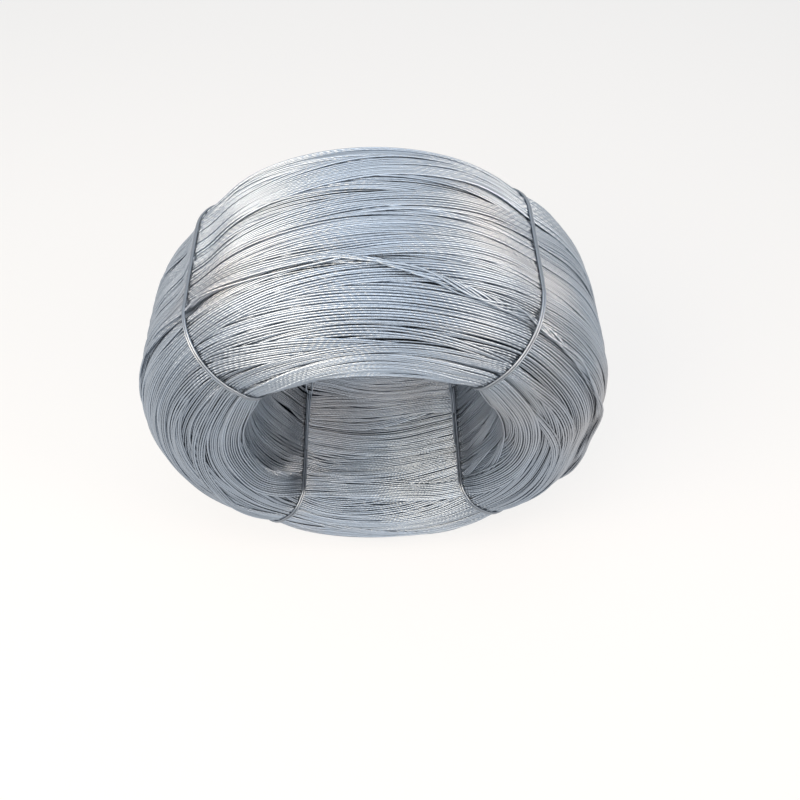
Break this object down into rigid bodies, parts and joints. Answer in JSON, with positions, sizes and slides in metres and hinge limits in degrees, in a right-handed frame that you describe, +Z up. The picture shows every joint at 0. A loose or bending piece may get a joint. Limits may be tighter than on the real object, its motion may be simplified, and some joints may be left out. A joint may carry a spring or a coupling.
{
  "type": "coil of stainless steel wire",
  "caption": "Loose-wound coil of drawn stainless steel wire, held by four doubled wire ties, standing on its rim.",
  "frame": {"origin": "centre of the bore", "axes": "+Y along the bore axis towards the back end, +Z up, front end faces -Y"},
  "size_m": [0.5598, 0.267, 0.5596],
  "materials": {
    "steel": "satin"
  },
  "bodies": {
    "root": {"wire_coil": "steel", "tie_upper_left": "steel", "tie_upper_right": "steel", "tie_lower_left": "steel", "tie_lower_right": "steel"}
  },
  "joints": []
}
